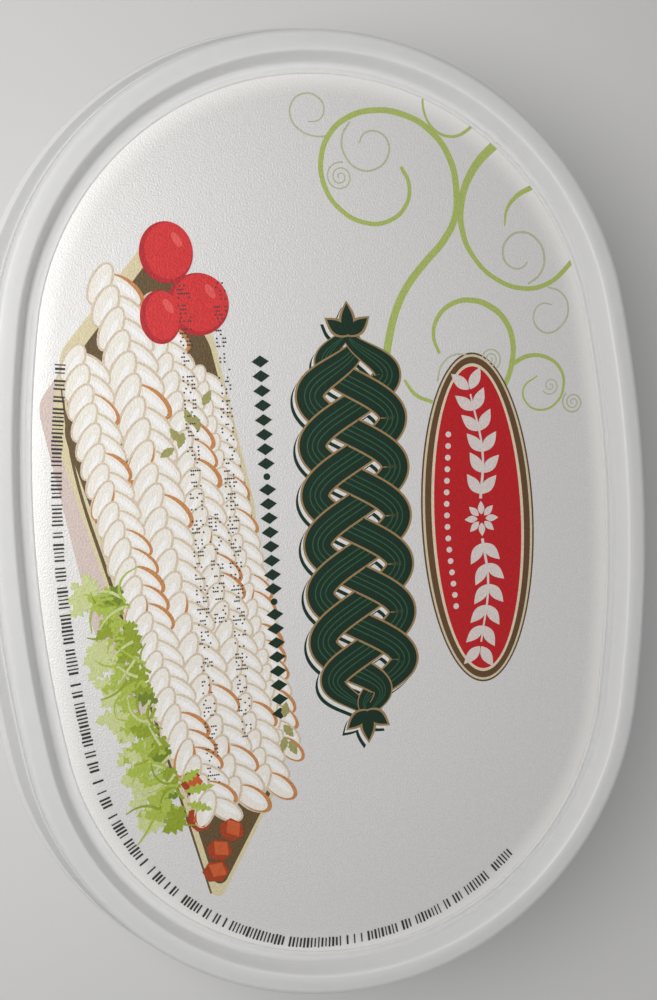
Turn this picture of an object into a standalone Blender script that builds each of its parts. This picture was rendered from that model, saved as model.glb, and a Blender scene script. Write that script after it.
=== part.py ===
# Shut oval tub with a press-on lid and a label plate set into the lid.
# Metres, Z up, standing on its base at z = 0, long axis along X.
# Every ring is a concentric offset of one oval made of four arcs.

import math

import bpy

MM = 0.001

# Plan of the lid's crown, the oval that every other ring is offset from.
HALF_LENGTH = 78.7 * MM
HALF_WIDTH = 54.6 * MM
END_RADIUS = 52.4 * MM

# Segments in each quarter of the oval, on the round end and on the flat side.
END_SEGMENTS = 15
SIDE_SEGMENTS = 4

# Top of the crown above the table, and the clearance between fitted pieces.
TOTAL_HEIGHT = 52.0 * MM
GAP = 0.3 * MM

# Lid. Depths are measured down from the crown, insets in from its outline.
LID_WALL = 0.9 * MM
SHOULDER_WIDTH = 1.5 * MM
SHOULDER_DEPTH = 1.9 * MM
CROWN_WIDTH = 3.65 * MM
CROWN_INNER_RADIUS = 0.45 * MM
MOAT_OUTER_INSET = 4.55 * MM
MOAT_INNER_INSET = 5.75 * MM
MOAT_DEPTH = 3.6 * MM
PLATEAU_INSET = 5.95 * MM
PLATEAU_DEPTH = 3.1 * MM
PLATEAU_RADIUS = 0.4 * MM
CREASE_INSET = 0.15 * MM
CREASE_DEPTH = 2.8 * MM
SKIRT_FLARE = 2.4 * MM
SKIRT_DEPTH = 10.3 * MM

# Label plate, flush in a pocket of the plateau.
LABEL_INSET = 6.6 * MM
LABEL_THICKNESS = 0.4 * MM
LABEL_BEVEL = 0.08 * MM

# Tub. Flares are measured out from the crown's outline.
LIP_OUTER_INSET = 1.25 * MM
LIP_INNER_INSET = 2.3 * MM
LIP_DEPTH = 1.3 * MM
FILL_DEPTH = 7.4 * MM
COLLAR_TOP_DEPTH = 4.2 * MM
COLLAR_FLARE = 0.5 * MM
COLLAR_DEPTH = 10.8 * MM
FLANGE_FLARE = 3.6 * MM
FLANGE_DEPTH = 13.3 * MM
FLANGE_THICKNESS = 1.2 * MM
FLANGE_EDGE = 0.35 * MM
WALL_FLARE = 0.2 * MM
BASE_INSET = 5.0 * MM
BASE_RADIUS = 4.0 * MM

LID_COLOUR = (0.74, 0.75, 0.75)
TUB_COLOUR = (0.72, 0.73, 0.73)
LABEL_COLOUR = (0.68, 0.68, 0.68)


def oval_frames():
    """Arc centre, arc radius and outward normal at each point of one turn of the oval."""
    rise = HALF_LENGTH - END_RADIUS
    side_radius = HALF_WIDTH**2 + rise**2 - END_RADIUS**2
    side_radius /= 2 * (HALF_WIDTH - END_RADIUS)
    sink = side_radius - HALF_WIDTH
    meet = math.atan2(sink, rise)
    right = math.pi / 2
    quarter = [meet * i / END_SEGMENTS for i in range(END_SEGMENTS)]
    quarter += [meet + (right - meet) * i / SIDE_SEGMENTS for i in range(SIDE_SEGMENTS)]
    half = quarter + [math.pi - angle for angle in reversed(quarter[1:] + [right])]
    frames = []
    for angle in half + [angle + math.pi for angle in half]:
        nx = math.cos(angle)
        ny = math.sin(angle)
        if math.atan2(abs(ny), abs(nx)) < meet:
            frames.append((math.copysign(rise, nx), 0.0, END_RADIUS, nx, ny))
        else:
            frames.append((0.0, -math.copysign(sink, ny), side_radius, nx, ny))
    return frames


def ring(frames, offset, z):
    """One closed ring of points at this offset from the oval and this height."""
    points = []
    for cx, cy, radius, nx, ny in frames:
        points.append((cx + (radius + offset) * nx, cy + (radius + offset) * ny, z))
    return points


def arc(centre, radii, start, end, steps):
    """Profile points on an ellipse, with start and end as angles in degrees."""
    points = []
    for i in range(steps + 1):
        angle = math.radians(start + (end - start) * i / steps)
        u = centre[0] + radii[0] * math.cos(angle)
        z = centre[1] + radii[1] * math.sin(angle)
        points.append((u, z))
    return points


def material(name, colour, roughness):
    made = bpy.data.materials.new(name)
    made.use_nodes = True
    shader = made.node_tree.nodes["Principled BSDF"]
    shader.inputs["Base Color"].default_value = (*colour, 1.0)
    shader.inputs["Roughness"].default_value = roughness
    shader.inputs["Metallic"].default_value = 0.0
    return made


def solid(name, profile, surface):
    """Closed body swept round the oval: the profile's two ends are capped flat."""
    frames = oval_frames()
    count = len(frames)
    points = []
    for offset, z in profile:
        points += ring(frames, offset, z)
    faces = [tuple(range(count))]
    for level in range(len(profile) - 1):
        upper = level * count
        lower = upper + count
        for i in range(count):
            after = (i + 1) % count
            faces.append((upper + i, lower + i, lower + after, upper + after))
    last = (len(profile) - 1) * count
    faces.append(tuple(reversed(range(last, last + count))))
    mesh = bpy.data.meshes.new(name)
    mesh.from_pydata(points, [], faces)
    mesh.update()
    mesh.shade_smooth()
    mesh.set_sharp_from_angle(angle=math.radians(35))
    mesh.materials.append(surface)
    made = bpy.data.objects.new(name, mesh)
    bpy.context.scene.collection.objects.link(made)
    return made


def lid_profile():
    """From the pocket floor outwards over the crown, down the skirt and back underneath."""
    top = TOTAL_HEIGHT
    plateau = top - PLATEAU_DEPTH
    floor = plateau - LABEL_THICKNESS - GAP
    moat = top - MOAT_DEPTH
    pocket = -LABEL_INSET + GAP
    profile = [(pocket, floor), (pocket, plateau)]
    edge = (-PLATEAU_INSET - PLATEAU_RADIUS / 2, plateau - PLATEAU_RADIUS)
    profile += arc(edge, (PLATEAU_RADIUS, PLATEAU_RADIUS), 90, 38, 2)
    profile += [(-MOAT_INNER_INSET, moat)]
    profile += [(-MOAT_OUTER_INSET, moat)]
    inner = (-CROWN_WIDTH + CROWN_INNER_RADIUS, top - CROWN_INNER_RADIUS)
    profile += arc(inner, (CROWN_INNER_RADIUS, CROWN_INNER_RADIUS), 172, 97, 3)
    shoulder = (-SHOULDER_WIDTH, top - SHOULDER_DEPTH)
    profile += arc(shoulder, (SHOULDER_WIDTH, SHOULDER_DEPTH), 92, 0, 6)
    profile += [(-CREASE_INSET, top - CREASE_DEPTH)]
    profile += [(0.1 * MM, top - CREASE_DEPTH - 0.4 * MM)]
    profile += [(SKIRT_FLARE - 0.05 * MM, top - SKIRT_DEPTH + 0.25 * MM)]
    profile += [(SKIRT_FLARE - 0.1 * MM, top - SKIRT_DEPTH)]
    profile += [(SKIRT_FLARE - 0.9 * MM, top - SKIRT_DEPTH)]
    profile += [(-LID_WALL, top - CREASE_DEPTH - 0.5 * MM)]
    profile += [(-LID_WALL - 0.05 * MM, top - SHOULDER_DEPTH)]
    profile += [(-SHOULDER_WIDTH + 0.5 * MM, top - LID_WALL - 0.05 * MM)]
    profile += [(-CROWN_WIDTH + LID_WALL + 0.1 * MM, top - LID_WALL - 0.05 * MM)]
    profile += [(-MOAT_OUTER_INSET + LID_WALL + 0.15 * MM, moat)]
    profile += [(-MOAT_OUTER_INSET + 0.3 * MM, moat - LID_WALL)]
    profile += [(-MOAT_INNER_INSET - 0.3 * MM, moat - LID_WALL)]
    profile += [(-PLATEAU_INSET - LID_WALL, floor - LID_WALL)]
    return profile


def tub_profile():
    """From the fill line outwards over the lip, the collar and the flange, then down."""
    top = TOTAL_HEIGHT
    fill = top - FILL_DEPTH
    flange = top - FLANGE_DEPTH
    under = flange - FLANGE_THICKNESS
    lip = top - LIP_DEPTH
    profile = [(-MOAT_OUTER_INSET + 0.2 * MM, fill)]
    profile += [(-LIP_INNER_INSET - 0.35 * MM, fill + 0.5 * MM)]
    profile += [(-LIP_INNER_INSET, lip - 0.3 * MM)]
    profile += [(-LIP_INNER_INSET + 0.2 * MM, lip)]
    profile += [(-LIP_OUTER_INSET - 0.2 * MM, lip - 0.1 * MM)]
    profile += [(-LIP_OUTER_INSET, lip - 0.4 * MM)]
    profile += [(-LIP_OUTER_INSET, top - COLLAR_TOP_DEPTH)]
    profile += [(COLLAR_FLARE, top - COLLAR_DEPTH)]
    profile += [(COLLAR_FLARE, flange + 0.5 * MM)]
    profile += [(COLLAR_FLARE + 0.5 * MM, flange)]
    edge = FLANGE_FLARE - FLANGE_EDGE
    profile += arc((edge, flange - FLANGE_EDGE), (FLANGE_EDGE, FLANGE_EDGE), 90, 0, 2)
    profile += arc((edge, under + FLANGE_EDGE), (FLANGE_EDGE, FLANGE_EDGE), 0, -90, 2)
    profile += [(WALL_FLARE + 0.6 * MM, under)]
    profile += [(WALL_FLARE, under - 0.6 * MM)]
    centre = (-BASE_INSET - BASE_RADIUS, BASE_RADIUS)
    profile += arc(centre, (BASE_RADIUS, BASE_RADIUS), -6, -90, 5)
    return profile


def label_profile():
    """A thin flat plate with its upper edge just eased."""
    upper = TOTAL_HEIGHT - PLATEAU_DEPTH
    lower = upper - LABEL_THICKNESS
    profile = [(-LABEL_INSET - LABEL_BEVEL, upper)]
    profile += [(-LABEL_INSET, upper - LABEL_BEVEL)]
    profile += [(-LABEL_INSET, lower)]
    return profile


for old in list(bpy.data.objects):
    bpy.data.objects.remove(old)

solid("tub", tub_profile(), material("tub_plastic", TUB_COLOUR, 0.35))
solid("lid", lid_profile(), material("lid_plastic", LID_COLOUR, 0.3))
solid("label", label_profile(), material("label_film", LABEL_COLOUR, 0.4))
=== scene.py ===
import math
import random

import bmesh
import bpy
from mathutils import Matrix, Vector


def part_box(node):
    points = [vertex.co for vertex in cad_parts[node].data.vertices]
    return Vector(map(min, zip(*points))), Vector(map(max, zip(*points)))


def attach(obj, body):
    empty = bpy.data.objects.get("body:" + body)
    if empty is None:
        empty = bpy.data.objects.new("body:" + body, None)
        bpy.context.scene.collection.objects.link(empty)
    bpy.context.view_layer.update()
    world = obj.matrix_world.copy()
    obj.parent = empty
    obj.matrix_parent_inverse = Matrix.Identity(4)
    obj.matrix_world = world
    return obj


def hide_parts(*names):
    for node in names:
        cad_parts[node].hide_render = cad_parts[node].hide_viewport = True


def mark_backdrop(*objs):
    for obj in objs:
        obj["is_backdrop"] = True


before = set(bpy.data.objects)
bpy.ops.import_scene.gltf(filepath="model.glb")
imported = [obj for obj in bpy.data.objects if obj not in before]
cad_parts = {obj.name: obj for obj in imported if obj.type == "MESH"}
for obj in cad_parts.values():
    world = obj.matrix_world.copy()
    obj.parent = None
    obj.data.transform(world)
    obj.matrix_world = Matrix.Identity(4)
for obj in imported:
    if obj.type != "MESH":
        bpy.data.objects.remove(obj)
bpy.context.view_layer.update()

MM = 0.001

# The oval of the lid's crown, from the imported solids: every ring is an offset of it.
lid_low, lid_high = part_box("lid")
tub_low, tub_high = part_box("tub")
label_low, label_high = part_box("label")
SKIRT_FLARE = 2.4 * MM
HALF_LENGTH = lid_high.x - SKIRT_FLARE + 0.05 * MM
HALF_WIDTH = lid_high.y - SKIRT_FLARE + 0.05 * MM
END_RADIUS = 52.4 * MM
TOP = lid_high.z
LABEL_TOP = label_high.z
LABEL_INSET = HALF_LENGTH - label_high.x
AROUND = 320

# The oval's end arcs stand this far from the middle, and its side arcs' centres sink this far.
OVAL_RISE = HALF_LENGTH - END_RADIUS
SIDE_RADIUS = (HALF_WIDTH**2 + OVAL_RISE**2 - END_RADIUS**2) / (2 * (HALF_WIDTH - END_RADIUS))
OVAL_SINK = SIDE_RADIUS - HALF_WIDTH


# ---------------------------------------------------------------- node boards

class Field:
    """A socket that takes part in Python sums: each sum adds its Math node."""

    def __init__(self, board, socket):
        self.board = board
        self.socket = socket

    def calc(self, operation, *values):
        node = self.board.add("ShaderNodeMath", {"operation": operation}, dict(enumerate(values)))
        return Field(self.board, node.outputs[0])

    def __add__(self, other):
        return self.calc("ADD", self, other)

    def __radd__(self, other):
        return self.calc("ADD", other, self)

    def __sub__(self, other):
        return self.calc("SUBTRACT", self, other)

    def __rsub__(self, other):
        return self.calc("SUBTRACT", other, self)

    def __mul__(self, other):
        return self.calc("MULTIPLY", self, other)

    def __rmul__(self, other):
        return self.calc("MULTIPLY", other, self)

    def __truediv__(self, other):
        return self.calc("DIVIDE", self, other)

    def __lt__(self, other):
        return self.calc("LESS_THAN", self, other)

    def __gt__(self, other):
        return self.calc("GREATER_THAN", self, other)

    def __abs__(self):
        return self.calc("ABSOLUTE", self)


class Board:
    """A node tree, of a material or of Geometry Nodes, with one way to add a node."""

    def __init__(self, tree):
        self.tree = tree

    def add(self, kind, settings=None, inputs=None):
        node = self.tree.nodes.new(kind)
        for key, value in (settings or {}).items():
            if key == "stops":
                self.ramp(node, value)
            else:
                setattr(node, key, value)
        for key, value in (inputs or {}).items():
            self.feed(node.inputs[key], value)
        return node

    def field(self, kind, settings=None, inputs=None, output=0):
        return Field(self, self.add(kind, settings, inputs).outputs[output])

    def feed(self, socket, value):
        if isinstance(value, Field):
            self.tree.links.new(value.socket, socket)
        elif value is not None:
            socket.default_value = value

    def ramp(self, node, stops):
        marks = node.color_ramp.elements
        while len(marks) < len(stops):
            marks.new(0.5)
        for mark, (place, colour) in zip(marks, stops):
            mark.position = place
            mark.color = colour


# ---------------------------------------------------------------- swept shells

def sweep_tree():
    """Sweeps a drawn profile round the four-arc oval."""
    tree = bpy.data.node_groups.new("sweep_round_oval", "GeometryNodeTree")
    face = tree.interface
    face.new_socket("Half Length", in_out="INPUT", socket_type="NodeSocketFloat")
    face.new_socket("Half Width", in_out="INPUT", socket_type="NodeSocketFloat")
    face.new_socket("End Radius", in_out="INPUT", socket_type="NodeSocketFloat")
    face.new_socket("Steps", in_out="INPUT", socket_type="NodeSocketInt")
    face.new_socket("Profile", in_out="INPUT", socket_type="NodeSocketObject")
    face.new_socket("Material", in_out="INPUT", socket_type="NodeSocketMaterial")
    face.new_socket("Geometry", in_out="OUTPUT", socket_type="NodeSocketGeometry")
    board = Board(tree)
    given = board.add("NodeGroupInput")
    length, width, end, steps, profile, surface = [Field(board, s) for s in given.outputs[:6]]
    rise = length - end
    side = (width * width + rise * rise - end * end) / ((width - end) * 2.0)
    sink = side - width
    index = board.field("GeometryNodeInputIndex")
    angle = index * math.tau / steps
    nx = angle.calc("COSINE", angle)
    ny = angle.calc("SINE", angle)
    on_end = abs(ny) * rise < abs(nx) * sink
    on_side = 1.0 - on_end
    x = on_end * nx.calc("SIGN", nx) * rise + (on_end * end + on_side * side) * nx
    y = (on_end * end + on_side * side) * ny - on_side * ny.calc("SIGN", ny) * sink
    place = board.field("ShaderNodeCombineXYZ", None, {"X": x, "Y": y})
    turn = board.field("GeometryNodeCurvePrimitiveCircle", None, {"Resolution": steps})
    path = board.field("GeometryNodeSetPosition", None, {"Geometry": turn, "Position": place})
    level = board.add("GeometryNodeSetCurveNormal")
    if hasattr(level, "mode"):
        level.mode = "Z_UP"
    else:
        level.inputs["Mode"].default_value = "Z Up"
    board.feed(level.inputs["Curve"], path)
    drawn = board.add("GeometryNodeObjectInfo", None, {"Object": profile})
    shell = board.field(
        "GeometryNodeCurveToMesh",
        None,
        {"Curve": Field(board, level.outputs[0]), "Profile Curve": Field(board, drawn.outputs["Geometry"])},
    )
    whole = board.field("GeometryNodeRealizeInstances", None, {"Geometry": shell})
    dressed = board.field("GeometryNodeSetMaterial", None, {"Geometry": whole, "Material": surface})
    out = board.add("NodeGroupOutput")
    board.feed(out.inputs["Geometry"], dressed)
    return tree


def rounded(corners, step):
    """A profile polyline in millimetres with each corner (out, height, radius) rounded."""
    points = []
    for index, (out, height, radius) in enumerate(corners):
        here = Vector((out, height))
        if index in (0, len(corners) - 1) or radius <= 0:
            points.append(here)
            continue
        back = Vector(corners[index - 1][:2]) - here
        ahead = Vector(corners[index + 1][:2]) - here
        opening = back.angle(ahead)
        reach = min(radius / math.tan(opening / 2), 0.48 * back.length, 0.48 * ahead.length)
        radius = reach * math.tan(opening / 2)
        middle = here + (back.normalized() + ahead.normalized()).normalized() * (radius / math.sin(opening / 2))
        start = here + back.normalized() * reach - middle
        end = here + ahead.normalized() * reach - middle
        turn = start.angle_signed(end)
        count = max(2, int(abs(turn) * radius / step), int(abs(math.degrees(turn)) / 12))
        for i in range(count + 1):
            points.append(middle + Matrix.Rotation(-turn * i / count, 2) @ start)
    return points


def profile_curve(name, points):
    """The profile as a curve object: x is outwards, and y is down, as the sweep lays it."""
    curve = bpy.data.curves.new(name, "CURVE")
    curve.dimensions = "3D"
    spline = curve.splines.new("POLY")
    spline.points.add(len(points) - 1)
    for point, place in zip(spline.points, points):
        point.co = (place.x * MM, -place.y * MM, 0.0, 1.0)
    made = bpy.data.objects.new(name, curve)
    bpy.context.scene.collection.objects.link(made)
    return made


def run_tree(name, tree, values):
    """Runs a Geometry Nodes tree and keeps what it makes as a plain mesh object."""
    seed_mesh = bpy.data.meshes.new(name + "_seed")
    worker = bpy.data.objects.new(name + "_seed", seed_mesh)
    bpy.context.scene.collection.objects.link(worker)
    modifier = worker.modifiers.new("build", "NODES")
    modifier.node_group = tree
    for item in tree.interface.items_tree:
        if item.in_out == "INPUT" and item.name in values:
            modifier[item.identifier] = values[item.name]
    bpy.context.view_layer.update()
    graph = bpy.context.evaluated_depsgraph_get()
    mesh = bpy.data.meshes.new_from_object(worker.evaluated_get(graph), depsgraph=graph)
    mesh.name = name
    bpy.data.objects.remove(worker)
    made = bpy.data.objects.new(name, mesh)
    bpy.context.scene.collection.objects.link(made)
    return made


def close_and_smooth(piece, crease_degrees, weld=0.001 * MM):
    """Welds doubles, closes the open rims with flat faces, and turns every face outwards."""
    mesh = piece.data
    work = bmesh.new()
    work.from_mesh(mesh)
    bmesh.ops.remove_doubles(work, verts=work.verts, dist=weld)
    rims = [edge for edge in work.edges if edge.is_boundary]
    bmesh.ops.holes_fill(work, edges=rims, sides=0)
    bmesh.ops.recalc_face_normals(work, faces=work.faces)
    work.to_mesh(mesh)
    work.free()
    mesh.shade_smooth()
    mesh.set_sharp_from_angle(angle=math.radians(crease_degrees))


OVAL_SWEEP = sweep_tree()


def swept(name, corners, material, step=0.12, crease_degrees=30, around=AROUND):
    profile = profile_curve(name + "_profile", rounded(corners, step))
    sizes = {
        "Half Length": HALF_LENGTH,
        "Half Width": HALF_WIDTH,
        "End Radius": END_RADIUS,
        "Steps": around,
        "Profile": profile,
        "Material": material,
    }
    piece = run_tree(name, OVAL_SWEEP, sizes)
    bpy.data.objects.remove(profile)
    close_and_smooth(piece, crease_degrees)
    return piece


# ---------------------------------------------------------------- finishes

def finish_board(name):
    material = bpy.data.materials.new(name)
    material.use_nodes = True
    material.node_tree.nodes.clear()
    return material, Board(material.node_tree)


def output(board, shader):
    out = board.add("ShaderNodeOutputMaterial")
    board.tree.links.new(shader.outputs[0], out.inputs["Surface"])


def grain(board, place, scale, detail=2.0, roughness=0.5):
    """A noise value about 0.5 whose grains are 1 / scale metres."""
    return board.field(
        "ShaderNodeTexNoise",
        {"noise_dimensions": "3D"},
        {"Vector": place, "Scale": scale, "Detail": detail, "Roughness": roughness},
    )


def tint(board, factor, dark, light):
    mixed = board.add("ShaderNodeMix", {"data_type": "RGBA"}, {0: factor, 6: (*dark, 1), 7: (*light, 1)})
    return Field(board, mixed.outputs[2])


def bump(board, height, strength, distance):
    return board.field("ShaderNodeBump", None, {"Height": height, "Strength": strength, "Distance": distance})


def oval_reach_field(board, place):
    """How far each point lies outside the crown's oval in plan, below nought inside it."""
    spot = board.add("ShaderNodeSeparateXYZ", None, {"Vector": place})
    x, y = [abs(Field(board, socket)) for socket in spot.outputs[:2]]
    on_end = y * OVAL_RISE < (x - OVAL_RISE) * OVAL_SINK
    on_side = 1.0 - on_end
    along = x - on_end * OVAL_RISE
    across = y + on_side * OVAL_SINK
    length = along * along + across * across
    return length.calc("SQRT", length) - on_end * END_RADIUS - on_side * SIDE_RADIUS


def soft_step(board, value, low, high):
    """Nought below low, one above high, and a soft slope between them."""
    settings = {"interpolation_type": "SMOOTHSTEP"}
    return board.field("ShaderNodeMapRange", settings, {"Value": value, "From Min": low, "From Max": high})


def faded(board, factor, colour, other):
    """A colour that turns into another, given as three numbers, as the factor goes to one."""
    mixed = board.add("ShaderNodeMix", {"data_type": "RGBA"}, {0: factor, 6: colour, 7: (*other, 1)})
    return Field(board, mixed.outputs[2])


def moulded_plastic(name, shade, light, rough, groove_painted_light=None):
    """White polypropylene: soft satin and milky. If given, the last colour is painted light: the plastic inside the
    crown is painted lighter towards the label, in place of light in the shaded groove.
    """
    material, board = finish_board(name)
    place = board.field("ShaderNodeTexCoord", None, None, 3)
    clouds = grain(board, place, 60.0, 3.0)
    fine = grain(board, place, 1400.0, 2.0)
    shader = board.add("ShaderNodeBsdfPrincipled")
    colour = tint(board, clouds, shade, light)
    if groove_painted_light:
        # Painted light: the plastic turns lighter from the wall's foot inwards, standing in for light that the shaded
        # groove lacks.
        groove_light_share = soft_step(board, 0.0 - oval_reach_field(board, place), WALL_FOOT_INSET, GROOVE_LIGHT_INSET)
        colour = faded(board, groove_light_share, colour, groove_painted_light)
    board.feed(shader.inputs["Base Color"], colour)
    board.feed(shader.inputs["Roughness"], fine * 0.12 + (rough - 0.06))
    board.feed(shader.inputs["Normal"], bump(board, fine + clouds * 0.6, 0.05, 0.03 * MM))
    shader.inputs["IOR"].default_value = 1.49
    shader.inputs["Subsurface Weight"].default_value = 0.8
    shader.inputs["Subsurface Radius"].default_value = (1.0, 0.97, 0.93)
    shader.inputs["Subsurface Scale"].default_value = 3.0 * MM
    output(board, shader)
    return material


def printed_film(name, shade, light, rough=0.5, metallic=0.1, grain_depth=1.0, edge_painted_light=None):
    """The label's film: a pearl ground or an ink on it, with the film's own fine grain.

    The edge colour, if given, is painted light: the paler colour that the ground fades to along the label's edge.
    """
    material, board = finish_board(name)
    place = board.field("ShaderNodeTexCoord", None, None, 3)
    speck = grain(board, place, 3600.0, 1.0)
    clouds = grain(board, place, 900.0, 3.0)
    mixed = speck * 0.75 + clouds * 0.25
    sharp = board.field("ShaderNodeMapRange", None, {"Value": mixed, "From Min": 0.34, "From Max": 0.66})
    shader = board.add("ShaderNodeBsdfPrincipled")
    colour = tint(board, sharp, shade, light)
    if edge_painted_light:
        # Painted light: the ground turns paler over the last few millimetres to the label's edge.
        edge_light_share = soft_step(board, oval_reach_field(board, place), -LABEL_INSET - EDGE_LIGHT_WIDTH, -LABEL_INSET)
        colour = faded(board, edge_light_share, colour, edge_painted_light)
    board.feed(shader.inputs["Base Color"], colour)
    board.feed(shader.inputs["Roughness"], speck * 0.2 + (rough - 0.1))
    board.feed(shader.inputs["Normal"], bump(board, mixed, 1.0, 0.1 * MM * grain_depth))
    shader.inputs["Metallic"].default_value = metallic
    shader.inputs["Specular IOR Level"].default_value = 0.35
    output(board, shader)
    return material


# The lid's plastic is painted lighter from the foot of the crown's inner wall inwards, lightest at the groove-light
# inset: painted light in the groove, where shade falls. The label's ground is painted paler over the edge-light
# width: painted light along the label's edge.
WALL_FOOT_INSET = 4.2 * MM
GROOVE_LIGHT_INSET = 6.3 * MM
EDGE_LIGHT_WIDTH = 3.6 * MM

# The last colour is painted light: the lighter plastic painted into the groove inside the crown.
lid_plastic = moulded_plastic(
    "lid_white_plastic", (0.785, 0.79, 0.79), (0.815, 0.815, 0.81), 0.38, (1.0, 0.995, 0.98)
)
tub_plastic = moulded_plastic("tub_white_plastic", (0.77, 0.775, 0.775), (0.80, 0.80, 0.795), 0.45)
# The last colour given is painted light: a paler band painted along the label's edge.
pearl_film = printed_film(
    "pearl_label_film", (0.74, 0.735, 0.73), (0.81, 0.808, 0.80), 0.5, 0.22, edge_painted_light=(0.93, 0.92, 0.90)
)


# ---------------------------------------------------------------- lid, tub and label

TOP_MM = TOP / MM
FILM_MM = LABEL_TOP / MM
INSET_MM = LABEL_INSET / MM

lid_shell = swept(
    "lid_shell",
    [
        (-9.0, FILM_MM - 0.06, 0),
        (-INSET_MM - 0.12, FILM_MM - 0.03, 0.05),
        (-INSET_MM + 0.02, FILM_MM + 0.02, 0.04),
        (-6.44, FILM_MM + 0.16, 0.10),
        (-6.26, FILM_MM + 0.18, 0.12),
        (-5.60, FILM_MM - 0.36, 0.50),
        (-4.56, FILM_MM - 0.50, 0.35),
        (-4.02, TOP_MM - 1.2, 0.5),
        (-3.76, TOP_MM, 0.4),
        (-1.15, TOP_MM, 0.9),
        (-0.48, TOP_MM - 0.42, 0.5),
        (-0.28, TOP_MM - 1.4, 0.6),
        (-0.40, TOP_MM - 3.30, 0.08),
        (-0.12, TOP_MM - 3.35, 0.08),
        (0.06, TOP_MM - 2.85, 0.12),
        (0.30, TOP_MM - 3.3, 0.4),
        (1.98, TOP_MM - 9.2, 0.9),
        (2.33, TOP_MM - 9.85, 0.5),
        (2.33, TOP_MM - 10.3, 0.25),
        (1.6, TOP_MM - 10.3, 0.12),
        (-0.95, TOP_MM - 3.4, 0.5),
        (-1.0, TOP_MM - 1.1, 0.4),
        (-2.8, TOP_MM - 1.0, 0.3),
        (-3.5, TOP_MM - 6.4, 0.4),
        (-5.2, TOP_MM - 6.5, 0.5),
        (-6.9, FILM_MM - 1.3, 0.4),
        (-9.0, FILM_MM - 1.3, 0),
    ],
    lid_plastic,
)
label_film = swept(
    "label_film",
    [
        (-30.0, FILM_MM, 0),
        (-INSET_MM - 0.02, FILM_MM, 0.02),
        (-INSET_MM - 0.01, FILM_MM - 0.045, 0),
        (-30.0, FILM_MM - 0.045, 0),
    ],
    pearl_film,
)
tub_shell = swept(
    "tub_shell",
    [
        (-4.2, TOP_MM - 7.4, 0),
        (-2.7, TOP_MM - 6.9, 0.2),
        (-2.3, TOP_MM - 1.4, 0.3),
        (-1.35, TOP_MM - 1.4, 0.3),
        (-1.35, TOP_MM - 4.2, 0.5),
        (0.5, TOP_MM - 10.8, 0.4),
        (0.5, TOP_MM - 13.3, 0.5),
        (3.6, TOP_MM - 13.3, 0.35),
        (3.6, TOP_MM - 14.5, 0.35),
        (0.2, TOP_MM - 14.5, 0.7),
        (-5.0, 0.0, 4.0),
        (-9.5, 0.0, 0),
    ],
    tub_plastic,
)

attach(lid_shell, "root")
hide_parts("lid")
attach(tub_shell, "root")
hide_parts("tub")
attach(label_film, "root")
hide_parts("label")


# ---------------------------------------------------------------- ink trees

# Inks are flat closed prisms standing a few microns over the film, one level for each overlap.
LEVEL = 0.004 * MM
INK_FOOT = LABEL_TOP - 0.01 * MM
STAGGER = 0.0012 * MM


def level(number):
    return LABEL_TOP + number * LEVEL


def tree_of(name, inputs):
    """A new Geometry Nodes tree with these named inputs, its board and its input fields."""
    tree = bpy.data.node_groups.new(name, "GeometryNodeTree")
    for label, kind in inputs.items():
        tree.interface.new_socket(label, in_out="INPUT", socket_type="NodeSocket" + kind)
    tree.interface.new_socket("Geometry", in_out="OUTPUT", socket_type="NodeSocketGeometry")
    board = Board(tree)
    given = board.add("NodeGroupInput")
    return tree, board, [Field(board, socket) for socket in given.outputs[: len(inputs)]]


def finish_tree(board, geometry, material):
    whole = board.field("GeometryNodeRealizeInstances", None, {"Geometry": geometry})
    dressed = board.field("GeometryNodeSetMaterial", None, {"Geometry": whole, "Material": material})
    board.feed(board.add("NodeGroupOutput").inputs["Geometry"], dressed)


def joined(board, parts):
    join = board.add("GeometryNodeJoinGeometry")
    for part in parts:
        board.tree.links.new(part.socket, join.inputs[0])
    return Field(board, join.outputs[0])


def stood_on(board, flat, foot):
    """Closes a flat sheet of ink into a prism that reaches down to the foot."""
    raised = board.add(
        "GeometryNodeExtrudeMesh", {"mode": "FACES"}, {"Mesh": flat, "Offset Scale": LEVEL, "Individual": False}
    )
    here = board.add("ShaderNodeSeparateXYZ", None, {"Vector": board.field("GeometryNodeInputPosition")})
    x, y = [Field(board, socket) for socket in here.outputs[:2]]
    pressed = board.field(
        "GeometryNodeSetPosition",
        None,
        {
            "Geometry": Field(board, raised.outputs["Mesh"]),
            "Selection": Field(board, raised.outputs["Top"]),
            "Position": board.field("ShaderNodeCombineXYZ", None, {"X": x, "Y": y, "Z": foot}),
        },
    )
    return joined(board, [pressed, flat])


def penned(board, path, half_width):
    """A flat strip along a level path, as wide as twice the half width at each point."""
    upright = board.field("GeometryNodeSetCurveNormal", {"mode": "Z_UP"}, {"Curve": path})
    nib = board.field("GeometryNodeCurvePrimitiveLine", None, {"Start": (-1, 0, 0), "End": (1, 0, 0)})
    return board.field(
        "GeometryNodeCurveToMesh", None, {"Curve": upright, "Profile Curve": nib, "Scale": half_width}
    )


def ribbon_tree():
    """Ribbons of ink along drawn paths, as wide as the paths' own radius says."""
    tree, board, (paths, step, foot, material) = tree_of(
        "ink_ribbons", {"Paths": "Object", "Step": "Float", "Foot": "Float", "Material": "Material"}
    )
    drawn = board.field("GeometryNodeObjectInfo", None, {"Object": paths}, "Geometry")
    evened = board.field("GeometryNodeResampleCurve", {"mode": "LENGTH"}, {"Curve": drawn, "Length": step})
    flat = penned(board, evened, board.field("GeometryNodeInputRadius"))
    finish_tree(board, stood_on(board, flat, foot), material)
    return tree


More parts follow.
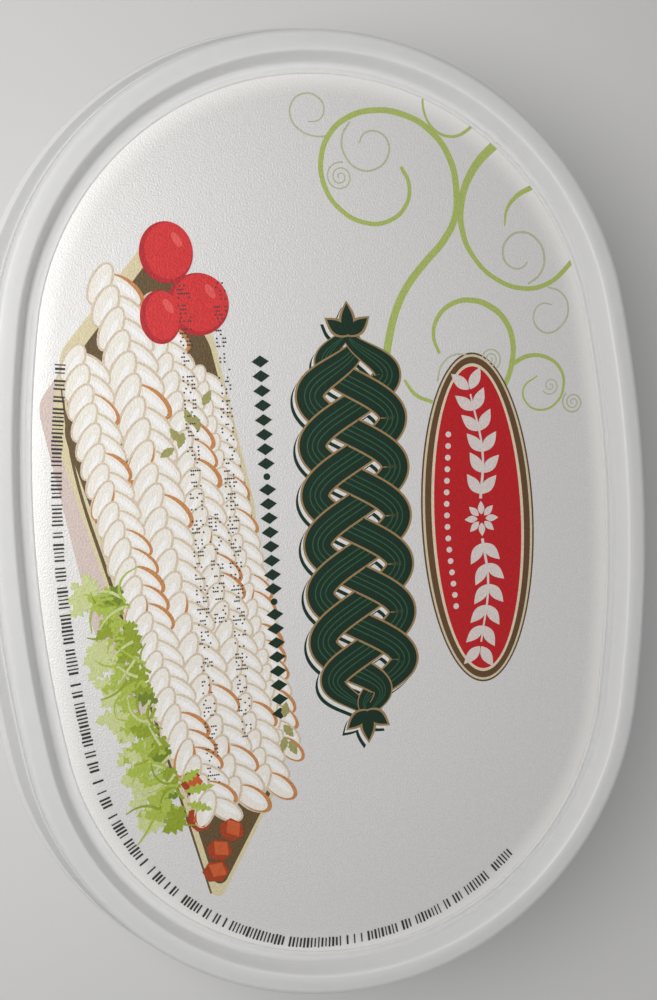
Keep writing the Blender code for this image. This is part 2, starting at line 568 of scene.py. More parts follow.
def plait_tree():
    """A three-strand plait: each strand swings from side to side and over and under the others."""
    tree, board, fields = tree_of(
        "flat_plait",
        {
            "Place": "Vector",
            "Length": "Float",
            "Swing": "Float",
            "Lift": "Float",
            "Turns": "Float",
            "Taper": "Float",
            "Half Width": "Float",
            "Side": "Float",
            "Foot": "Float",
            "Material": "Material",
        },
    )
    place, length, swing, lift, turns, taper, half, side, foot, material = fields
    strands = []
    for strand in range(3):
        line = board.field("GeometryNodeCurvePrimitiveLine", None, {"Start": (-0.5, 0, 0), "End": (0.5, 0, 0)})
        line = board.field("GeometryNodeResampleCurve", {"mode": "COUNT"}, {"Curve": line, "Count": PLAIT_STEPS})
        share = board.field("GeometryNodeInputIndex") / (PLAIT_STEPS - 1)
        to_end = share.calc("MINIMUM", share, 1.0 - share) / taper
        fullness = to_end.calc("MINIMUM", to_end, 1.0) * (math.pi / 2)
        fullness = fullness.calc("SINE", fullness)
        phase = share * turns * math.tau + math.tau * strand / 3
        across = swing * fullness * phase.calc("SINE", phase)
        twice = phase * 2.0
        weave = twice.calc("SINE", twice) * 2.0
        weave = weave.calc("MAXIMUM", weave.calc("MINIMUM", weave, 1.0), -1.0)
        spot = board.field(
            "ShaderNodeCombineXYZ",
            None,
            {"X": (share - 0.5) * length, "Y": across, "Z": lift * fullness * weave},
        )
        spot = board.field("ShaderNodeVectorMath", {"operation": "ADD"}, {0: spot, 1: place})
        path = board.field("GeometryNodeSetPosition", None, {"Geometry": line, "Position": spot})
        path = board.field("GeometryNodeSetCurveNormal", {"mode": "Z_UP"}, {"Curve": path})
        normal = board.field("GeometryNodeInputNormal")
        aside = board.field("ShaderNodeVectorMath", {"operation": "SCALE"}, {0: normal, "Scale": side * fullness})
        path = board.field("GeometryNodeSetPosition", None, {"Geometry": path, "Offset": aside})
        path = board.field("GeometryNodeSetPosition", None, {"Geometry": path, "Offset": (0, 0, strand * STAGGER)})
        strands.append(penned(board, path, half * (fullness * 0.7 + 0.3)))
    flat = joined(board, strands)
    finish_tree(board, stood_on(board, flat, foot), material)
    return tree


def stamp_tree():
    """Stamps one drawn shape along a path, turned, set aside, varied in size and dropped at random."""
    tree, board, fields = tree_of(
        "stamps_along_path",
        {
            "Path": "Object",
            "Shape": "Object",
            "Pitch": "Float",
            "Side": "Float",
            "Shift": "Float",
            "Tilt": "Float",
            "Least": "Vector",
            "Most": "Vector",
            "Climb": "Float",
            "Keep": "Float",
            "Seed": "Int",
            "Foot": "Float",
            "Material": "Material",
        },
    )
    path, shape, pitch, side, shift, tilt, least, most, climb, keep, seed, foot, material = fields
    drawn = board.field("GeometryNodeObjectInfo", None, {"Object": path}, "Geometry")
    stamp = board.field("GeometryNodeObjectInfo", None, {"Object": shape}, "Geometry")
    spots = board.add("GeometryNodeCurveToPoints", {"mode": "LENGTH"}, {"Curve": drawn, "Length": pitch})
    points, tangent = [Field(board, spots.outputs[name]) for name in ("Points", "Tangent")]
    ways = board.add("ShaderNodeSeparateXYZ", None, {"Vector": tangent})
    run, rise = [Field(board, socket) for socket in ways.outputs[:2]]
    heading = rise.calc("ARCTAN2", rise, run)
    across = board.field("ShaderNodeCombineXYZ", None, {"X": 0.0 - rise, "Y": run, "Z": 0.0})
    ahead = board.field("ShaderNodeVectorMath", {"operation": "SCALE"}, {0: tangent, "Scale": shift})
    aside = board.field("ShaderNodeVectorMath", {"operation": "SCALE"}, {0: across, "Scale": side})
    moved = board.field("ShaderNodeVectorMath", {"operation": "ADD"}, {0: ahead, 1: aside})
    upward = board.field("ShaderNodeCombineXYZ", None, {"Z": board.field("GeometryNodeInputIndex") * climb})
    moved = board.field("ShaderNodeVectorMath", {"operation": "ADD"}, {0: moved, 1: upward})
    points = board.field("GeometryNodeSetPosition", None, {"Geometry": points, "Offset": moved})
    chosen = board.field(
        "FunctionNodeRandomValue", {"data_type": "BOOLEAN"}, {"Probability": keep, "Seed": seed}, 3
    )
    turn = board.field("ShaderNodeCombineXYZ", None, {"Z": heading + tilt})
    turn = board.field("FunctionNodeEulerToRotation", None, {"Euler": turn})
    size = board.field(
        "FunctionNodeRandomValue", {"data_type": "FLOAT_VECTOR"}, {"Min": least, "Max": most, "Seed": seed + 1.0}
    )
    stamped = board.field(
        "GeometryNodeInstanceOnPoints",
        None,
        {"Points": points, "Selection": chosen, "Instance": stamp, "Rotation": turn, "Scale": size},
    )
    flat = board.field("GeometryNodeRealizeInstances", None, {"Geometry": stamped})
    finish_tree(board, stood_on(board, flat, foot), material)
    return tree


def dot_tree():
    """Rows of small round dots in groups of five columns, some left out at random."""
    tree, board, fields = tree_of(
        "dot_rows",
        {
            "Groups": "Int",
            "Rows": "Int",
            "Wide": "Float",
            "Tall": "Float",
            "Dot": "Float",
            "Place": "Vector",
            "Keep": "Float",
            "Seed": "Int",
            "Foot": "Float",
            "Material": "Material",
        },
    )
    groups, rows, wide, tall, dot, place, keep, seed, foot, material = fields
    columns = groups * float(DOT_COLUMNS)
    grid = board.field(
        "GeometryNodeMeshGrid",
        None,
        {
            "Size X": (columns - 1.0) * wide,
            "Size Y": (rows - 1.0) * tall,
            "Vertices X": columns,
            "Vertices Y": rows,
        },
    )
    index = board.field("GeometryNodeInputIndex")
    column = index / rows
    column = column.calc("FLOOR", column)
    in_group = column.calc("MODULO", column, float(DOT_COLUMNS))
    inked = in_group < DOT_COLUMNS - 1.5
    chosen = board.field(
        "FunctionNodeRandomValue", {"data_type": "BOOLEAN"}, {"Probability": keep, "Seed": seed}, 3
    )
    grid = board.field("GeometryNodeTransform", None, {"Geometry": grid, "Translation": place})
    disc = board.field("GeometryNodeMeshCircle", {"fill_type": "NGON"}, {"Vertices": 8, "Radius": dot})
    dots = board.field(
        "GeometryNodeInstanceOnPoints", None, {"Points": grid, "Selection": inked * chosen, "Instance": disc}
    )
    flat = board.field("GeometryNodeRealizeInstances", None, {"Geometry": dots})
    finish_tree(board, stood_on(board, flat, foot), material)
    return tree


PLAIT_STEPS = 420
DOT_COLUMNS = 6
RIBBONS = ribbon_tree()
PLAIT = plait_tree()
STAMPS = stamp_tree()
DOTS = dot_tree()


# ---------------------------------------------------------------- drawing in ink

def display(red, green, blue, gain=1.4):
    """A display colour as the linear base colour that shows it on this stage."""
    parts = []
    for value in (red, green, blue):
        value = value / 255
        linear = value / 12.92 if value <= 0.04045 else ((value + 0.055) / 1.055) ** 2.4
        parts.append(min(0.95, linear * gain))
    return parts


def oval_spot(degrees, offset_mm):
    """The point in millimetres on an offset of the crown's oval, by its normal's angle."""
    nx, ny = math.cos(math.radians(degrees)), math.sin(math.radians(degrees))
    if abs(ny) * OVAL_RISE < abs(nx) * OVAL_SINK:
        x, y, radius = math.copysign(OVAL_RISE, nx), 0.0, END_RADIUS
    else:
        x, y, radius = 0.0, -math.copysign(OVAL_SINK, ny), SIDE_RADIUS
    radius = radius / MM + offset_mm
    return x / MM + radius * nx, y / MM + radius * ny


def oval_reach(x, y):
    """How far a point in metres lies outside the crown's oval, and the way straight out from it."""
    if abs(y) * OVAL_RISE < (abs(x) - OVAL_RISE) * OVAL_SINK:
        centre, radius = Vector((math.copysign(OVAL_RISE, x), 0.0)), END_RADIUS
    else:
        centre, radius = Vector((0.0, -math.copysign(OVAL_SINK, y))), SIDE_RADIUS
    out = Vector((x, y)) - centre
    return out.length - radius, out.normalized()


def ellipse(cx, cy, rx, ry, degrees=0.0, count=48):
    turn = Matrix.Rotation(math.radians(degrees), 2)
    spots = []
    for i in range(count):
        angle = math.tau * i / count
        spot = turn @ Vector((rx * math.cos(angle), ry * math.sin(angle)))
        spots.append((cx + spot.x, cy + spot.y))
    return spots


def leaf(cx, cy, long, wide, degrees, frill=0.0, frills=7, count=44):
    """A pointed leaf from its stalk at (cx, cy), with a frilled edge if asked."""
    turn = Matrix.Rotation(math.radians(degrees), 2)
    spots = []
    for i in range(count):
        share = i / (count / 2) if i < count / 2 else 2 - i / (count / 2)
        sign = 1 if i < count / 2 else -1
        swell = math.sin(math.pi * share**0.85)
        swell *= 1 + frill * math.sin(math.tau * frills * share)
        spot = turn @ Vector((long * share, sign * wide / 2 * max(swell, 0.0)))
        spots.append((cx + spot.x, cy + spot.y))
    return spots


def rounded_outline(corners):
    """A closed outline with each corner (x, y, radius) rounded."""
    ring = [corners[-1]] + list(corners) + [corners[0]]
    return [(spot.x, spot.y) for spot in rounded(ring, 0.5)[1:-1]]


def spiral(cx, cy, radius, start, turns, left=0.12, count=14):
    """Points of a curl wound inwards from its outer end: turns below nought wind clockwise."""
    spots = []
    total = max(6, int(abs(turns) * count))
    for i in range(total + 1):
        share = i / total
        reach = radius * (1 - (1 - left) * share**0.9)
        angle = math.radians(start) + math.tau * turns * share
        spots.append((cx + reach * math.cos(angle), cy + reach * math.sin(angle)))
    return spots


def drawn_curve(name, strokes, height):
    """Strokes (points, widths at the start, middle and end) in millimetres as one curve object."""
    curve = bpy.data.curves.new(name, "CURVE")
    curve.dimensions = "3D"
    curve.resolution_u = 16
    for number, (points, widths) in enumerate(strokes):
        spline = curve.splines.new("BEZIER")
        spline.bezier_points.add(len(points) - 1)
        for i, (knot, spot) in enumerate(zip(spline.bezier_points, points)):
            share = 2 * i / (len(points) - 1)
            first, last = (widths[0], widths[1]) if share < 1 else (widths[1], widths[2])
            knot.co = (spot[0] * MM, spot[1] * MM, height + number * STAGGER)
            knot.handle_left_type = "AUTO"
            knot.handle_right_type = "AUTO"
            knot.radius = (first + (last - first) * (share % 1 if share < 2 else 1)) * MM / 2
    made = bpy.data.objects.new(name, curve)
    bpy.context.scene.collection.objects.link(made)
    return made


def drawn_shape(name, outline, height):
    """An outline in millimetres as one flat face."""
    mesh = bpy.data.meshes.new(name)
    spots = [(x * MM, y * MM, height) for x, y in outline]
    mesh.from_pydata(spots, [], [tuple(range(len(spots)))])
    made = bpy.data.objects.new(name, mesh)
    bpy.context.scene.collection.objects.link(made)
    return made


class Ink:
    """One colour of the print: flat shapes, ribbons and stamps gathered into one piece."""

    def __init__(self, name, colour, spread=0.10, **finish):
        shade = [part * (1 - spread) for part in colour]
        light = [min(1.0, part * (1 + spread)) for part in colour]
        self.name = "print_" + name
        self.material = printed_film("ink_" + name, shade, light, **finish)
        self.work = bmesh.new()

    def take(self, made):
        self.work.from_mesh(made.data)
        bpy.data.objects.remove(made)

    def shape(self, outline, number):
        sheet = []
        for height in (level(number), INK_FOOT):
            sheet.append([self.work.verts.new((x * MM, y * MM, height)) for x, y in outline])
        upper, lower = sheet
        self.work.faces.new(upper)
        self.work.faces.new(reversed(lower))
        for i in range(len(upper)):
            self.work.faces.new((upper[i - 1], upper[i], lower[i], lower[i - 1]))

    def ribbons(self, strokes, number, step=0.35):
        paths = drawn_curve(self.name + "_paths", strokes, level(number))
        values = {"Paths": paths, "Step": step * MM, "Foot": INK_FOOT, "Material": self.material}
        self.take(run_tree(self.name + "_ribbons", RIBBONS, values))
        bpy.data.objects.remove(paths)

    def plait(self, number, half, side=0.0, lift=6.0, shift=(0.0, 0.0)):
        place = (PLAIT_MIDDLE[0] + shift[0], PLAIT_MIDDLE[1] + shift[1])
        values = {
            "Place": (place[0] * MM, place[1] * MM, level(number)),
            "Length": PLAIT_LENGTH * MM,
            "Swing": PLAIT_SWING * MM,
            "Lift": lift * LEVEL,
            "Turns": PLAIT_TURNS,
            "Taper": 0.14,
            "Half Width": half * MM,
            "Side": side * MM,
            "Foot": INK_FOOT,
            "Material": self.material,
        }
        self.take(run_tree(self.name + "_plait", PLAIT, values))

    def stamps(
        self,
        path,
        outline,
        number,
        pitch,
        side=0.0,
        shift=0.0,
        tilt=0.0,
        least=(1, 1),
        most=(1, 1),
        climb=0.0,
        keep=1.0,
        seed=1,
    ):
        route = drawn_curve(self.name + "_route", [(path, (1, 1, 1))], level(number))
        stamp = drawn_shape(self.name + "_stamp", outline, 0.0)
        values = {
            "Path": route,
            "Shape": stamp,
            "Pitch": pitch * MM,
            "Side": side * MM,
            "Shift": shift * MM,
            "Tilt": math.radians(tilt),
            "Least": (*map(float, least), 1.0),
            "Most": (*map(float, most), 1.0),
            "Climb": climb * LEVEL,
            "Keep": keep,
            "Seed": seed,
            "Foot": INK_FOOT,
            "Material": self.material,
        }
        self.take(run_tree(self.name + "_stamps", STAMPS, values))
        bpy.data.objects.remove(route)
        bpy.data.objects.remove(stamp)

    def dots(self, number, left, middle, groups, rows, keep, seed):
        columns = groups * DOT_COLUMNS
        wide, tall = DOT_PITCH
        values = {
            "Groups": groups,
            "Rows": rows,
            "Wide": wide * MM,
            "Tall": tall * MM,
            "Dot": DOT_RADIUS * MM,
            "Place": ((left + (columns - 1) * wide / 2) * MM, middle * MM, level(number)),
            "Keep": keep,
            "Seed": seed,
            "Foot": INK_FOOT,
            "Material": self.material,
        }
        self.take(run_tree(self.name + "_dots", DOTS, values))

    def trim(self, inset):
        """Cuts off what runs past this inset from the crown's outline, and squares the cut to it."""
        outside = {}
        for vertex in self.work.verts:
            reach, out = oval_reach(vertex.co.x, vertex.co.y)
            if reach > -inset:
                outside[vertex] = (reach + inset) * out
        gone = [face for face in self.work.faces if all(vertex in outside for vertex in face.verts)]
        bmesh.ops.delete(self.work, geom=gone, context="FACES")
        for vertex, over in outside.items():
            if vertex.is_valid:
                vertex.co.x -= over.x
                vertex.co.y -= over.y

    def finish(self):
        mesh = bpy.data.meshes.new(self.name)
        self.work.to_mesh(mesh)
        self.work.free()
        mesh.materials.clear()
        mesh.materials.append(self.material)
        piece = bpy.data.objects.new(self.name, mesh)
        bpy.context.scene.collection.objects.link(piece)
        close_and_smooth(piece, 30, 0.0002 * MM)
        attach(piece, "root")
        return piece


# ---------------------------------------------------------------- the label's artwork

PLAIT_MIDDLE = (0.5, 3.7)
PLAIT_LENGTH = 63.0
PLAIT_SWING = 6.9
PLAIT_TURNS = 2.6
PLAIT_HALF = 2.15
DOT_PITCH = (0.62, 0.34)
DOT_RADIUS = 0.15


def scrolls():
    """Scroll flourishes that run off the label's edge: broad stems, then hair-fine curls."""
    stems = Ink("scroll_green", display(152, 166, 92))
    stems.ribbons(
        [
            (
                [
                    (-26.0, 9.8), (-30.0, 10.7), (-33.9, 11.9), (-37.9, 14.0), (-41.8, 17.3), (-45.4, 20.8),
                    (-49.0, 22.9), (-52.9, 23.4), (-58.6, 22.5), (-63.2, 19.3), (-65.8, 14.6),
                    (-66.4, 10.0), (-65.4, 5.8), (-62.8, 2.5), (-58.8, 0.8), (-54.6, 1.1),
                    (-51.0, 3.3), (-48.6, 7.4), (-48.7, 11.4), (-51.2, 14.6), (-54.6, 15.3), (-57.4, 14.1),
                ],
                (1.35, 0.95, 0.6),
            ),
            (
                [
                    (-63.4, 34.8), (-60.6, 30.2), (-56.6, 26.3), (-51.6, 24.2), (-46.6, 24.2),
                    (-42.2, 26.2), (-38.9, 29.7), (-37.2, 34.3), (-37.8, 38.8), (-40.6, 42.6), (-45.0, 46.0),
                ],
                (1.7, 0.75, 0.8),
            ),
            ([(-55.4, 40.0), (-53.8, 36.6), (-52.4, 33.9), (-50.2, 32.1), (-47.6, 31.6)], (1.0, 0.75, 0.2)),
            (
                [
                    (-26.9, 19.2), (-29.9, 18.3), (-32.9, 19.2), (-35.1, 21.9), (-35.5, 25.3),
                    (-34.3, 28.6), (-31.8, 31.1), (-28.4, 32.2), (-24.8, 31.9), (-21.4, 30.6), (-18.6, 28.6),
                ],
                (0.5, 1.0, 0.85),
            ),
            ([(-19.0, 17.6), (-20.4, 14.7), (-22.9, 12.9)], (0.6, 0.65, 0.4)),
            (
                [
                    (-24.7, 32.0), (-25.9, 35.0), (-25.5, 38.2), (-23.5, 40.6), (-20.5, 41.1),
                    (-17.8, 39.7), (-16.7, 36.9), (-17.8, 34.4), (-20.4, 33.8), (-22.5, 36.4),
                ],
                (0.8, 0.4, 0.25),
            ),
            ([(-70.5, 18.6), (-66.4, 18.4), (-63.4, 20.0), (-62.2, 22.8), (-63.0, 25.4), (-66.4, 28.6)], (0.3, 0.4, 0.6)),
        ],
        3,
    )
    stems.trim(LABEL_INSET - 0.3 * MM)
    stems.finish()
    curls = Ink("curl_green", display(164, 168, 142))
    curls.ribbons(
        [
            (
                [
                    (-62.4, 2.4), (-62.3, 0.2), (-63.2, -2.3), (-65.2, -3.8), (-67.6, -3.5),
                    (-69.0, -1.5), (-68.5, 0.7), (-66.7, 1.7), (-64.9, 0.8), (-64.6, -1.0),
                ],
                (0.28, 0.3, 0.22),
            ),
            (
                [
                    (-64.6, 5.8), (-62.1, 4.4), (-59.2, 4.8), (-57.1, 6.9), (-57.1, 9.8),
                    (-59.0, 11.9), (-61.6, 12.0), (-63.1, 10.1), (-62.7, 8.1), (-61.2, 7.2),
                ],
                (0.32, 0.35, 0.25),
            ),
            (spiral(-55.9, 3.8, 2.4, 165, 2.4), (0.25, 0.25, 0.2)),
            (
                [
                    (-37.9, 35.4), (-39.5, 37.6), (-42.2, 38.5), (-45.2, 37.3), (-46.5, 34.5),
                    (-45.4, 32.0), (-42.9, 31.1), (-40.8, 32.4), (-40.7, 34.6), (-41.6, 35.4),
                ],
                (0.35, 0.4, 0.25),
            ),
            (
                [
                    (-37.3, 38.9), (-36.3, 41.3), (-33.6, 42.5), (-30.9, 41.3), (-29.6, 38.8),
                    (-30.6, 36.7), (-32.8, 36.2), (-34.5, 37.6), (-34.3, 39.6),
                ],
                (0.3, 0.33, 0.22),
            ),
            (spiral(-17.7, 42.7, 2.0, 215, 2.4), (0.3, 0.25, 0.2)),
            (spiral(-20.7, 38.7, 1.6, 300, 1.8), (0.22, 0.2, 0.18)),
            (spiral(-25.7, 28.1, 1.9, 30, 2.4), (0.28, 0.25, 0.2)),
            ([(-22.4, 18.6), (-25.2, 19.6), (-26.7, 22.2), (-25.9, 24.7), (-22.6, 26.0)], (0.3, 0.3, 0.3)),
        ],
        2,
    )
    curls.finish()


def plait_band():
    """The band across the middle: a dark three-strand plait with a gilt edge and a drop line."""
    for name, colour, number, half, shift, lift in (
        ("drop_green", DARK_GREEN, 4, PLAIT_HALF + 0.25, (0.95, -0.85), 0.0),
        ("drop_gap", PEARL, 6, PLAIT_HALF + 0.25, (0.5, -0.45), 0.0),
        ("gilt", GILT, 12.4, PLAIT_HALF + 0.34, (0.0, 0.0), 4.5),
        ("deep_green", DARK_GREEN, 13, PLAIT_HALF, (0.0, 0.0), 4.5),
    ):
        ink = Ink(name, colour, grain_depth=0.7)
        ink.plait(number, half, 0.0, lift, shift)
        grow = half - PLAIT_HALF
        for way in (1, -1):
            x = PLAIT_MIDDLE[0] + shift[0] + way * (PLAIT_LENGTH / 2 - 0.4)
            y = PLAIT_MIDDLE[1] + shift[1]
            for turn, long in ((0, 5.0), (52, 4.2), (-52, 4.2)):
                heading = turn if way > 0 else 180 - turn
                start = Matrix.Rotation(math.radians(heading), 2) @ Vector((0.1 - grow, 0.0))
                blade = leaf(x + start.x, y + start.y, long + 2.4 * grow, 2.0 + 2.4 * grow, heading)
                ink.shape(blade, number + lift + 0.05 * turn / 52)
        ink.finish()
    threads = Ink("thread_green", display(40, 78, 54), grain_depth=0.7)
    for side in (-0.85, 0.0, 0.85):
        threads.plait(13.35, 0.1, side, 4.5)
    threads.finish()


def lozenge_row():
    """A quiet row of small lozenges in three groups, parted by dots."""
    ink = Ink("row_green", DARK_GREEN)
    lozenge = ellipse(0, 0, 0.95, 1.4, 0, 4)
    for left, right in ((-27.0, -10.6), (-6.4, 9.8), (14.0, 30.4)):
        ink.stamps([(left, -11.0), ((left + right) / 2, -11.0), (right, -11.0)], lozenge, 28, 2.3)
    for x in (-8.5, 11.9):
        ink.shape(ellipse(x, -11.0, 0.55, 0.55, 0, 16), 28)
    ink.finish()


def plaque():
    """An oval plaque over the plait: gilt rims round a red field with a pale laurel."""
    x, y = 1.0, 24.7
    wide, tall = 25.6, 7.7
    rims = (
        ("rim_brown", display(84, 62, 40), 4, 2.3),
        ("rim_cream", display(188, 176, 150), 5, 2.0),
        ("rim_bronze", display(88, 64, 40), 6, 1.6),
        ("rim_pale", display(200, 184, 160), 7, 0.5),
        ("plaque_red", display(168, 24, 30), 8, 0.0),
    )
    for name, colour, number, over in rims:
        ink = Ink(name, colour)
        ink.shape(ellipse(x, y, wide + over, tall + over, 0, 128), number)
        ink.finish()
    pale = Ink("laurel_white", display(196, 186, 182))
    blade = leaf(0, 0, 4.1, 1.9, 0)
    for way in (1, -1):
        stem = [(x + way * 3.4, y + 0.6), (x + way * 11.0, y + 1.3), (x + way * 21.0, y - 0.4)]
        pale.ribbons([(stem, (0.5, 0.4, 0.3))], 9)
        for side in (1, -1):
            pale.stamps(stem, blade, 9.3, 3.3, 0.1 * side, 0.8, 38 * side)
    for petal in range(8):
        angle = 45 * petal
        start = Matrix.Rotation(math.radians(angle), 2) @ Vector((0.7, 0.0))
        pale.shape(leaf(x + start.x, y + 0.6 + start.y, 2.3, 1.15, angle), 9.5 + 0.1 * petal)
    below = [(x - 14.5, y - 4.6), (x, y - 5.5), (x + 14.5, y - 4.6)]
    pale.stamps(below, ellipse(0, 0, 0.5, 0.5, 0, 12), 9.3, 1.85)
    pale.finish()


ROPES = (
    # Middle line of each plaited cheese, half its width, and the level it lies on.
    ([(-24.0, -20.2), (-10.0, -18.0), (6.0, -15.4), (22.0, -12.9), (36.0, -11.2)], 2.9, 5.0),
    ([(-35.0, -27.0), (-20.0, -24.0), (0.0, -21.2), (20.0, -17.8), (42.0, -13.6)], 3.3, 8.0),
    ([(-39.5, -33.6), (-22.0, -30.6), (-3.0, -28.0), (20.0, -24.0), (43.5, -18.4)], 3.7, 11.0),
    ([(-27.5, -38.8), (-10.0, -36.4), (8.0, -32.6), (28.0, -28.0), (45.0, -22.6)], 3.3, 14.0),
)
CLIMB = 0.4
SALAD_COUNT = 120
FRILL_COUNT = 46


def dish_picture():
    """A served dish in flat colour: plaited cheeses, tomatoes, carrot rounds and salad."""
    shadow = Ink("dish_shadow", display(200, 184, 178, DISH_GAIN))
    shadow.shape(rounded_outline([(-46, -27, 3), (-20, -30, 3), (40, -30, 3), (14, -40, 6), (-22, -46.2, 5)]), 1)
    shadow.finish()
    rim = Ink("dish_rim", display(204, 194, 158, DISH_GAIN))
    rim.shape(
        rounded_outline(
            [
                (-48, -26.6, 2), (-31, -18.2, 9), (-4, -13.2, 12), (43, -12.4, 5),
                (61.5, -23.4, 1.2), (16, -35.4, 14), (-18, -44.2, 7), (-30, -42.0, 5),
            ]
        ),
        2,
    )
    rim.finish()
    inside = Ink("dish_inside", display(96, 78, 50, DISH_GAIN), spread=0.2)
    inside.shape(
        rounded_outline(
            [
                (-45, -26.4, 2), (-30, -18.9, 8), (-4, -13.8, 10), (42.5, -12.8, 5),
                (59.5, -23.0, 1.2), (15, -33.6, 12), (-17, -42.4, 6), (-28, -40.6, 5),
            ]
        ),
        3,
    )
    lower = [(-24.0, -42.3), (-12.0, -41.3), (8.0, -36.6), (30.0, -31.2), (59.0, -24.2)]
    inside.ribbons([(lower, (0.3, 0.6, 0.3))], 3.4)
    inside.finish()
    cheese_ropes()
    tomatoes()
    salad()
    carrots()


def cheese_ropes():
    """Each cheese is two rows of lobes laid like a plait, every lobe a little over the last one."""
    crease = Ink("cheese_crease", display(200, 186, 166, DISH_GAIN), spread=0.12)
    amber = Ink("cheese_amber", display(186, 128, 78, DISH_GAIN), spread=0.15)
    lobes = Ink("cheese_white", display(224, 220, 212, DISH_GAIN), spread=0.05)
    gleam = Ink("cheese_gleam", display(244, 242, 238, DISH_GAIN), spread=0.03)
    for number, (path, half, base) in enumerate(ROPES):
        crease.ribbons([(path, (2 * half - 1.2, 2 * half + 0.2, 2 * half - 1.2))], base)
        pitch = 0.92 * half
        under = ellipse(0, 0, 1.0 * half, 0.52 * half, 0, 22)
        stain = ellipse(0.12 * half, 0.05 * half, 0.94 * half, 0.5 * half, 0, 22)
        lobe = ellipse(0, 0, 0.9 * half, 0.4 * half, 0, 22)
        glint = ellipse(0.1 * half, 0.1 * half, 0.55 * half, 0.13 * half, 0, 12)
        for side in (1, -1):
            laid = {"climb": CLIMB, "seed": 7 + number, "tilt": 37 * side, "least": (0.94, 0.9), "most": (1.06, 1.06)}
            laid.update(pitch=pitch, side=0.44 * side * half, shift=0.25 * side * pitch)
            first = base + 0.6 + (0.0 if side > 0 else CLIMB / 2)
            crease.stamps(path, under, first, **laid)
            lobes.stamps(path, lobe, first + 0.1, **laid)
            gleam.stamps(path, glint, first + 0.15, **laid)
            laid.update(seed=20 + number + side, keep=0.34 if side > 0 else 0.12)
            amber.stamps(path, stain, first + 0.05, **laid)
    for ink in (crease, amber, lobes, gleam):
        ink.finish()


def tomatoes():
    skin = Ink("tomato_red", display(200, 50, 52, DISH_GAIN), spread=0.12)
    deep = Ink("tomato_shade", display(172, 38, 45, DISH_GAIN), spread=0.12)
    shine = Ink("tomato_shine", display(212, 84, 82, DISH_GAIN))
    pieces = ((-36.4, -20.4, 4.9, 4.9), (-44.6, -24.9, 4.8, 4.2), (-34.6, -26.4, 4.2, 3.2))
    for number, (x, y, wide, tall) in enumerate(pieces):
        base = 24 + 1.2 * number
        deep.shape(ellipse(x, y, wide, tall), base)
        skin.shape(ellipse(x - 0.25, y + 0.4, wide - 0.4, tall - 0.5), base + 0.3)
        shine.shape(ellipse(x - 0.4 * wide, y + 0.42 * tall, 1.3, 0.6, 30, 20), base + 0.6)
    for ink in (deep, skin, shine):
        ink.finish()


def salad():
    """Frilled leaves and slender fronds along the dish's lower side, and small sprigs of herb."""
    draw = random.Random(11)
    greens = [
        Ink("salad_pale", display(190, 198, 140, DISH_GAIN)),
        Ink("salad_light", display(160, 178, 74, DISH_GAIN)),
        Ink("salad_mid", display(136, 154, 44, DISH_GAIN)),
        Ink("salad_dark", display(108, 128, 40, DISH_GAIN)),
    ]

    def spot():
        share = draw.random()
        depth = draw.random()
        return share, depth, 7.5 + 40.0 * share, -34.2 + 7.6 * share - (6.6 - 1.4 * share) * depth

    for i in range(SALAD_COUNT):
        share, depth, x, y = spot()
        heading = -90 + 110 * (draw.random() - 0.5) + 40 * (share - 0.5)
        long = 2.4 + 2.6 * draw.random()
        ink = greens[min(3, int(4 * (1 - 0.9 * depth) * (0.5 + 0.5 * draw.random())))]
        ink.shape(leaf(x, y, long, 0.5 * long, heading, 0.45, 4, 32), 24 + 0.03 * i)
    fronds = [[], [], [], []]
    for i in range(FRILL_COUNT):
        share, depth, x, y = spot()
        heading = math.radians(-90 + 130 * (draw.random() - 0.5) + 30 * (share - 0.5))
        bend = 0.9 * (draw.random() - 0.5)
        long = 3.4 + 3.2 * draw.random()
        stroke = []
        for step in range(4):
            way = heading + bend * step
            stroke.append((x + long * step / 3 * math.cos(way), y + long * step / 3 * math.sin(way)))
        fronds[draw.randrange(3)].append((stroke, (0.5, 0.4, 0.15)))
    for ink, strokes in zip(greens, fronds):
        if strokes:
            ink.ribbons(strokes, 28.0 + 0.4 * greens.index(ink), 0.4)
    for x, y, heading, long in ((41.5, -27.6, 96, 5.2), (43.5, -27.2, 70, 4.4), (39.8, -28.0, 118, 3.8)):
        greens[1].shape(leaf(x, y, long, 1.4, heading, 0.4, 5), 29.5)
    herbs = (
        (-20.5, -20.6, 150), (-19.0, -22.0, 10), (-17.6, -22.6, 200), (-16.4, -24.0, -20),
        (-15.0, -24.6, 215), (-14.0, -25.6, -60), (31.2, -10.4, 170), (32.4, -10.6, 35),
        (34.4, -10.4, -15), (35.2, -9.8, 25),
    )
    herb = Ink("herb_green", display(150, 148, 92, DISH_GAIN))
    for number, (x, y, heading) in enumerate(herbs):
        herb.shape(leaf(x, y, 2.7, 1.3, heading, 0.12, 4), 28.6 + 0.1 * number)
    for ink in greens + [herb]:
        ink.finish()


def carrots():
    """Carrot cubes at the dish's tip, each with its lit face on top."""
    side = Ink("carrot_side", display(156, 62, 30, DISH_GAIN))
    face = Ink("carrot_face", display(192, 90, 48, DISH_GAIN))
    cubes = ((40.4, -26.0), (46.4, -25.4), (48.8, -20.2), (51.9, -22.4), (55.4, -23.2))
    for number, (x, y) in enumerate(cubes):
        side.shape(ellipse(x, y, 2.25, 1.9, 30 + 14 * number, 6), 24 + 0.3 * number)
        face.shape(ellipse(x - 0.25, y + 0.3, 1.75, 1.35, 14 * number, 4), 24.15 + 0.3 * number)
    for ink in (side, face):
        ink.finish()


